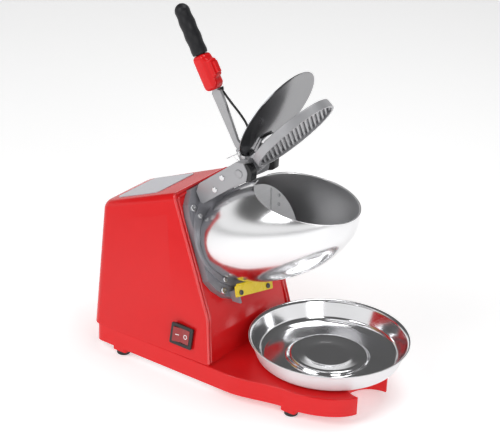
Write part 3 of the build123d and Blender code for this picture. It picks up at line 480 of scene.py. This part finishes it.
def make_bowl():
    """Spun steel dish with a raised ring in its floor, brushed on the outside of its wall."""
    outside = [(0, 2.3), (25, 2.3), (31, 3.6), (41, 5.2), (45, 4.6), (47.5, 0.3), (77, 0.3), (84.2, 4.5),
               (91.6, 24.4), (93.2, 25.6), (94.2, 26.4)]
    inside = [(94.2, 27.3), (92.6, 27.2), (90.4, 25.4), (83.2, 5.6), (76.6, 1.2), (48.3, 1.2), (45.8, 5.6),
              (41.4, 6.2), (30.6, 4.6), (24.6, 3.2), (0, 3.2)]
    profile = [(v.x, v.y) for v in rounded_line([(r, z, 0) for r, z in outside + inside], 3.2)]
    profile[0] = (0.02, profile[0][1])
    profile[-1] = (0.02, profile[-1][1])
    verts, faces = lathe(profile, lambda x, y, z: BOWL_FOOT + Vector((x, y, z)), 200, capped=True)
    obj = piece("bowl_dish", verts, faces, "mirror_steel", "bowl", ("catch_bowl",), 60, "bowl_inside")
    obj.data.materials.append(LOOK["bowl_steel"])
    centre = row(BOWL_FOOT)
    for face in obj.data.polygons:
        from_axis = face.center - centre
        outwards = face.normal.x * from_axis.x + face.normal.y * from_axis.y
        if outwards > 0 and from_axis.xy.length > BOWL_WALL_FROM * MM:
            face.material_index = 1


make_bowl()


# ---- lid, grip and switch housing ---------------------------------------------------------------
def make_lid():
    """Thin disc, slightly domed, with a rolled edge."""
    profile = [(0.02, 0.75), (20, 0.68), (40, 0.48), (55, 0.22), (58.6, 0.1), (59.7, 0.2), (59.95, 0.65),
               (59.7, 1.1), (58.6, 1.18), (55, 1.0), (40, 1.17), (20, 1.19), (0.02, 1.2)]

    def place(x, y, z):
        return arm_point(LID_ANGLE, LID_REACH + x, LID_LIFT + z, y)

    verts, faces = lathe(profile, place, 128, capped=True)
    piece("lid_disc", verts, faces, "mirror_steel", "lid_leaf", ("lid",), 50, "lid_steel")


make_lid()


def make_grip():
    """Rubber sleeve that swells gently under the fingers and ends in a round tip."""
    profile = [(0.02, 0.0), (8.3, 0.0), (8.8, 0.6)]
    for step in range(27):
        height = 2.0 + step * 50.0 / 26
        swell = 0.35 * math.sin(2 * math.pi * height / 17.0) + 0.5 * math.sin(math.pi * height / 52.0)
        profile.append((8.8 + swell, height))
    tip = profile[-1][0]
    for step in range(1, 13):
        turn = math.pi / 2 * step / 12
        profile.append((max(0.02, tip * math.cos(turn)), 52.0 + 9.6 * math.sin(turn)))

    def place(x, y, z):
        return arm_point(HANDLE_ANGLE, GRIP_START + z, GRIP_LIFT + x, y)

    smooth = [(v.x, v.y) for v in rounded_line([(r, z, 0) for r, z in profile], 0.8, 3)]
    verts, faces = lathe(smooth, place, 64, capped=True)
    piece("grip_sleeve", verts, faces, "grip_rubber", "lever", ("grip",), 60)


make_grip()


def make_switch_housing():
    """Two-part red case on the handle, with a soft hump that carries the trigger."""
    shape = bmesh.new()
    blocks = [((118.5, 7.6, 0), (43, 18.8, 18.8), 5.5), ((120.5, -2.3, 0), (22, 8.4, 13.5), 2.8),
              ((117.0, 0.6, 0), (34, 7.0, 15.5), 3.0)]
    for centre, size, radius in blocks:
        part = bmesh.new()
        bmesh.ops.create_cube(part, size=1)
        bmesh.ops.scale(part, vec=size, verts=part.verts)
        bmesh.ops.bevel(part, geom=part.edges[:], offset=radius, segments=5, affect="EDGES", profile=0.5)
        bmesh.ops.translate(part, vec=centre, verts=part.verts)
        data = bpy.data.meshes.new("block")
        part.to_mesh(data)
        part.free()
        shape.from_mesh(data)
    for vert in shape.verts:
        vert.co = row(arm_point(HANDLE_ANGLE, vert.co.x, vert.co.y, vert.co.z))
    data = bpy.data.meshes.new("switch_case")
    shape.to_mesh(data)
    shape.free()
    obj = bpy.data.objects.new("switch_case", data)
    bpy.context.scene.collection.objects.link(obj)
    merge = obj.modifiers.new("merge", "REMESH")
    merge.mode = "VOXEL"
    merge.voxel_size = 0.5 * MM
    melt = obj.modifiers.new("melt", "SMOOTH")
    melt.iterations = 26
    melt.factor = 0.5
    baked(obj)
    handle_line = arm_point(HANDLE_ANGLE, 1, 0, 0) - PIVOT
    trigger_slot = frame_matrix(arm_point(HANDLE_ANGLE, 120.5, -3.8, 0), handle_line, Vector((0, -1, 0)))
    seam = frame_matrix(arm_point(HANDLE_ANGLE, 118.5, 7.6, 0), handle_line, Vector((0, -1, 0)))
    hollow = [(trigger_slot, (14.4, 12, 7.4)), (seam, (60, 8.4, 4.3)),
              (seam @ Matrix.Translation((0, 9.6, 0)), (60, 1.4, 0.5))]
    cut(obj, hollow)
    finish_piece(obj, "red_plastic", "lever", ("switch_housing_near", "switch_housing_far"), 45)


make_switch_housing()


# ---- beads round the housing's front ------------------------------------------------------------
def make_beads():
    """Two raised lines that follow the sides and the top of the leaning front panel."""
    verts, faces = [], []
    for inset in BEAD_INSETS:
        half = [(163.1, 84.5 - inset, 37.0), (153.2, 76.5 - inset, 88.0),
                (81.5 + inset * AXIS.z, 53.0 - inset, 217.0 - inset * AXIS.x)]
        path = [(x, -y, z) for x, y, z in half] + [(x, y, z) for x, y, z in reversed(half)]
        line, quads = tube(rounded_line(path, 5.0), BEAD_RADIUS)
        faces += [tuple(i + len(verts) for i in quad) for quad in quads]
        verts += line
    piece("housing_beads", verts, faces, "red_plastic", "machine", (), 60, "red_gloss")


make_beads()


# ---- cable and spring ---------------------------------------------------------------------------
CABLE_ROUTE = [(104.0, 5.5, 333.2), (113.0, 6.0, 324.3), (127.5, 6.3, 312.8), (140.0, 6.6, 300.5),
               (145.6, 6.4, 285.0), (149.3, 6.0, 269.1)]


def make_cable():
    curve = bpy.data.curves.new("cable", "CURVE")
    curve.dimensions = "3D"
    curve.bevel_depth = 1.4 * MM
    curve.bevel_resolution = 6
    curve.resolution_u = 24
    curve.use_fill_caps = True
    spline = curve.splines.new("NURBS")
    spline.points.add(len(CABLE_ROUTE) - 1)
    for point, place in zip(spline.points, CABLE_ROUTE):
        point.co = (*row(place), 1)
    spline.order_u = 3
    spline.use_endpoint_u = True
    obj = bpy.data.objects.new("cable", curve)
    bpy.context.scene.collection.objects.link(obj)
    curve.materials.append(LOOK["black_plastic"])
    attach(obj, "lever")
    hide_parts("handle_cable")
    tuple(row(CABLE_ROUTE[0]))


make_cable()


def make_spring():
    """Torsion spring wound round the pin, with two bent legs to the rear."""
    path = rounded_line([(127, -13.3, 262), (143, -13.3, 273), (151.8, -13.3, 260.2)], 3)[:-1]
    turns, steps = 2, 28
    begin = math.radians(128)
    for i in range(turns * steps + 1):
        a = begin - 2 * math.pi * i / steps
        across = -13.3 - 1.3 * i / (turns * steps)
        path.append(Vector((PIVOT.x + 4.95 * math.cos(a), across, PIVOT.z + 4.95 * math.sin(a))))
    path += rounded_line([(151.0, -14.65, 261.5), (138, -14.7, 268), (129, -14.7, 270)], 3)
    verts, faces = tube([Vector(p) for p in path], 0.5)
    piece("spring_wire", verts, faces, "zinc_steel", "machine", ("lid_spring",), 60)


make_spring()


# ---- hinge arms ---------------------------------------------------------------------------------
def plate(name, outline, y_from, y_to, slot, body, replaced=(), bevel=0.7, keep_out=None, look=None):
    """A side plate with softened edges; keep_out trims what lies behind a height over the panel."""
    mesh = bmesh.new()
    low = [mesh.verts.new((x, y_from, z)) for x, z in outline]
    high = [mesh.verts.new((x, y_to, z)) for x, z in outline]
    mesh.faces.new(low)
    mesh.faces.new(high[::-1])
    for i in range(len(outline)):
        j = (i + 1) % len(outline)
        mesh.faces.new((low[i], high[i], high[j], low[j]))
    bmesh.ops.recalc_face_normals(mesh, faces=mesh.faces)
    corners = [e for e in mesh.edges if abs(e.verts[0].co.y - e.verts[1].co.y) > 1]
    bmesh.ops.bevel(mesh, geom=corners, offset=2.2, segments=4, affect="EDGES", profile=0.5)
    if keep_out is not None:
        geometry = mesh.verts[:] + mesh.edges[:] + mesh.faces[:]
        cutting = bmesh.ops.bisect_plane(mesh, geom=geometry, plane_co=head_point(0, 0, keep_out),
                                         plane_no=AXIS, clear_inner=True)
        edges = [e for e in cutting["geom_cut"] if isinstance(e, bmesh.types.BMEdge)]
        bmesh.ops.holes_fill(mesh, edges=edges)
        bmesh.ops.recalc_face_normals(mesh, faces=mesh.faces)
    for vert in mesh.verts:
        vert.co = row(vert.co)
    data = bpy.data.meshes.new(name)
    mesh.to_mesh(data)
    mesh.free()
    obj = bpy.data.objects.new(name, data)
    bpy.context.scene.collection.objects.link(obj)
    soften = obj.modifiers.new("soften", "BEVEL")
    soften.width = bevel * MM
    soften.segments = 3
    soften.limit_method = "ANGLE"
    soften.angle_limit = math.radians(40)
    baked(obj)
    finish_piece(obj, slot, body, replaced, 30, look)
    return obj


def make_arms():
    outline = [(94.0, 210.0), (105.5, 203.0), (128.0, 221.5), (145.0, 235.0), (157.0, 243.0), (165.0, 249.0),
               (166.5, 260.0), (160.5, 270.0), (150.0, 269.0), (99.0, 227.0)]
    block = [(161.0, 247.0), (171.5, 250.5), (171.8, 262.0), (165.5, 270.0), (160.0, 269.0), (165.2, 259.5)]
    for side, name in ((-1, "near"), (1, "far")):
        y_from, y_to = sorted((side * 16.0, side * 28.0))
        plate("arm_" + name, outline, y_from, y_to, "cast_aluminium", "machine", ("hinge_arm_" + name,),
              keep_out=12.2)
        y_from, y_to = sorted((side * 16.3, side * 27.0))
        plate("arm_buffer_" + name, block, y_from, y_to, "black_plastic", "machine", bevel=1.0)
    verts, faces = [], []
    for side in (-1, 1):
        profile = [(0.02, 1.6), (3.4, 1.6), (4.6, 1.2), (5.2, 0.2), (5.2, 0.0), (0.02, 0.0)]

        def place(x, y, z, side=side):
            return PIVOT + Vector((x, side * (28.0 + z), y))

        disc, quads = lathe(profile, place, 40)
        faces += [tuple(i + len(verts) for i in quad) for quad in quads]
        verts += disc
    piece("pin_ends", verts, faces, "cast_aluminium", "machine", ("pin_caps",), 40)


make_arms()


# ---- marks on the power rocker ------------------------------------------------------------------
SWITCH_MIDDLE = (122.0, -81.22, 59.0)
ROCKER_BAR = (-5.5, 2.8, -16)           # place across, height over the housing wall, slope in degrees
ROCKER_RING = (5.5, 1.8, 6)


def make_rocker_marks():
    """A thin white bar on the rocker's rear half and a ring on its front half."""
    lean = math.atan2(84.5 - 53.0, 217.0 - 35.05)
    out = Vector((0, -math.cos(lean), math.sin(lean)))
    up = Vector((0, math.sin(lean), math.cos(lean)))
    middle = Vector(SWITCH_MIDDLE)

    def half(across, height, tilt):
        """Maps (x, y, z) to the sloping face at a place across the rocker."""
        a = math.radians(tilt)
        along = Vector((math.cos(a), 0, 0)) + out * math.sin(a)
        normal = along.cross(up)
        normal = normal if normal.dot(out) > 0 else -normal
        start = middle + Vector((across, 0, 0)) + out * height
        return lambda x, y, z: start + along * x + up * y + normal * z

    bar = half(*ROCKER_BAR)
    corners = [(-2.4, -0.45), (2.4, -0.45), (2.4, 0.45), (-2.4, 0.45)]
    verts = [bar(x, y, z) for z in (-0.3, 0.15) for x, y in corners]
    faces = grid_faces(2, 4) + [(0, 1, 2, 3), (4, 5, 6, 7)]
    outline = [(1.9, -0.3), (1.9, 0.15), (2.7, 0.15), (2.7, -0.3), (1.9, -0.3)]
    ring, quads = lathe(outline, half(*ROCKER_RING), 40)
    faces += [tuple(i + len(verts) for i in quad) for quad in quads]
    verts += ring
    piece("rocker_marks", verts, faces, "white_mark", "power_rocker", (), 40)


make_rocker_marks()


# ---- room ---------------------------------------------------------------------------------------
def make_floor():
    mesh = bmesh.new()
    bmesh.ops.create_grid(mesh, x_segments=8, y_segments=8, size=6)
    data = bpy.data.meshes.new("floor")
    mesh.to_mesh(data)
    mesh.free()
    floor = bpy.data.objects.new("floor", data)
    bpy.context.scene.collection.objects.link(floor)
    pale = material("floor_pale", (0.93, 0.93, 0.93), (0.7, 0.8), tint=0.004, scale=(2, 2, 2))
    shader = pale.node_tree.nodes["Principled BSDF"]
    shader.inputs["Emission Color"].default_value = (1, 1, 1, 1)
    shader.inputs["Emission Strength"].default_value = 0.42
    data.materials.append(pale)


def softbox(name, place, target, size, power):
    light = bpy.data.lights.new(name, "AREA")
    light.shape = "RECTANGLE"
    light.size, light.size_y = size
    light.energy = power
    lamp = bpy.data.objects.new(name, light)
    lamp.location = place
    lamp.rotation_euler = (Vector(target) - Vector(place)).to_track_quat("-Z", "Y").to_euler()
    bpy.context.scene.collection.objects.link(lamp)


def make_world():
    """A studio that is bright near the horizon and darker overhead, so that steel has contrast."""
    world = bpy.data.worlds.new("studio")
    bpy.context.scene.world = world
    world.use_nodes = True
    nodes, links = world.node_tree.nodes, world.node_tree.links
    where = nodes.new("ShaderNodeTexCoord")
    split = nodes.new("ShaderNodeSeparateXYZ")
    ramp = nodes.new("ShaderNodeValToRGB")
    links.new(where.outputs["Generated"], split.inputs["Vector"])
    links.new(split.outputs["Z"], ramp.inputs["Fac"])
    links.new(ramp.outputs["Color"], nodes["Background"].inputs["Color"])
    stops = [(0.0, 0.55), (0.05, 0.95), (0.27, 0.9), (0.34, 0.09), (0.95, 0.13)]
    ramp.color_ramp.elements[0].position = stops[0][0]
    ramp.color_ramp.elements[1].position = stops[-1][0]
    for position, _ in stops[1:-1]:
        ramp.color_ramp.elements.new(position)
    for element, (_, level) in zip(ramp.color_ramp.elements, stops):
        element.color = (level, level, level, 1)
    nodes["Background"].inputs["Strength"].default_value = 1.0


make_floor()
make_world()
softbox("key", (-0.5, -1.5, 1.5), (0, 0, 0.15), (1.2, 1.0), 17.5)
softbox("fill", (1.5, -0.9, 0.9), (0.05, 0, 0.15), (0.7, 0.9), 6.5)
softbox("top", (0.1, 0.5, 1.7), (0, 0, 0.1), (1.0, 0.8), 10)
bpy.context.scene.view_settings.view_transform = "Standard"
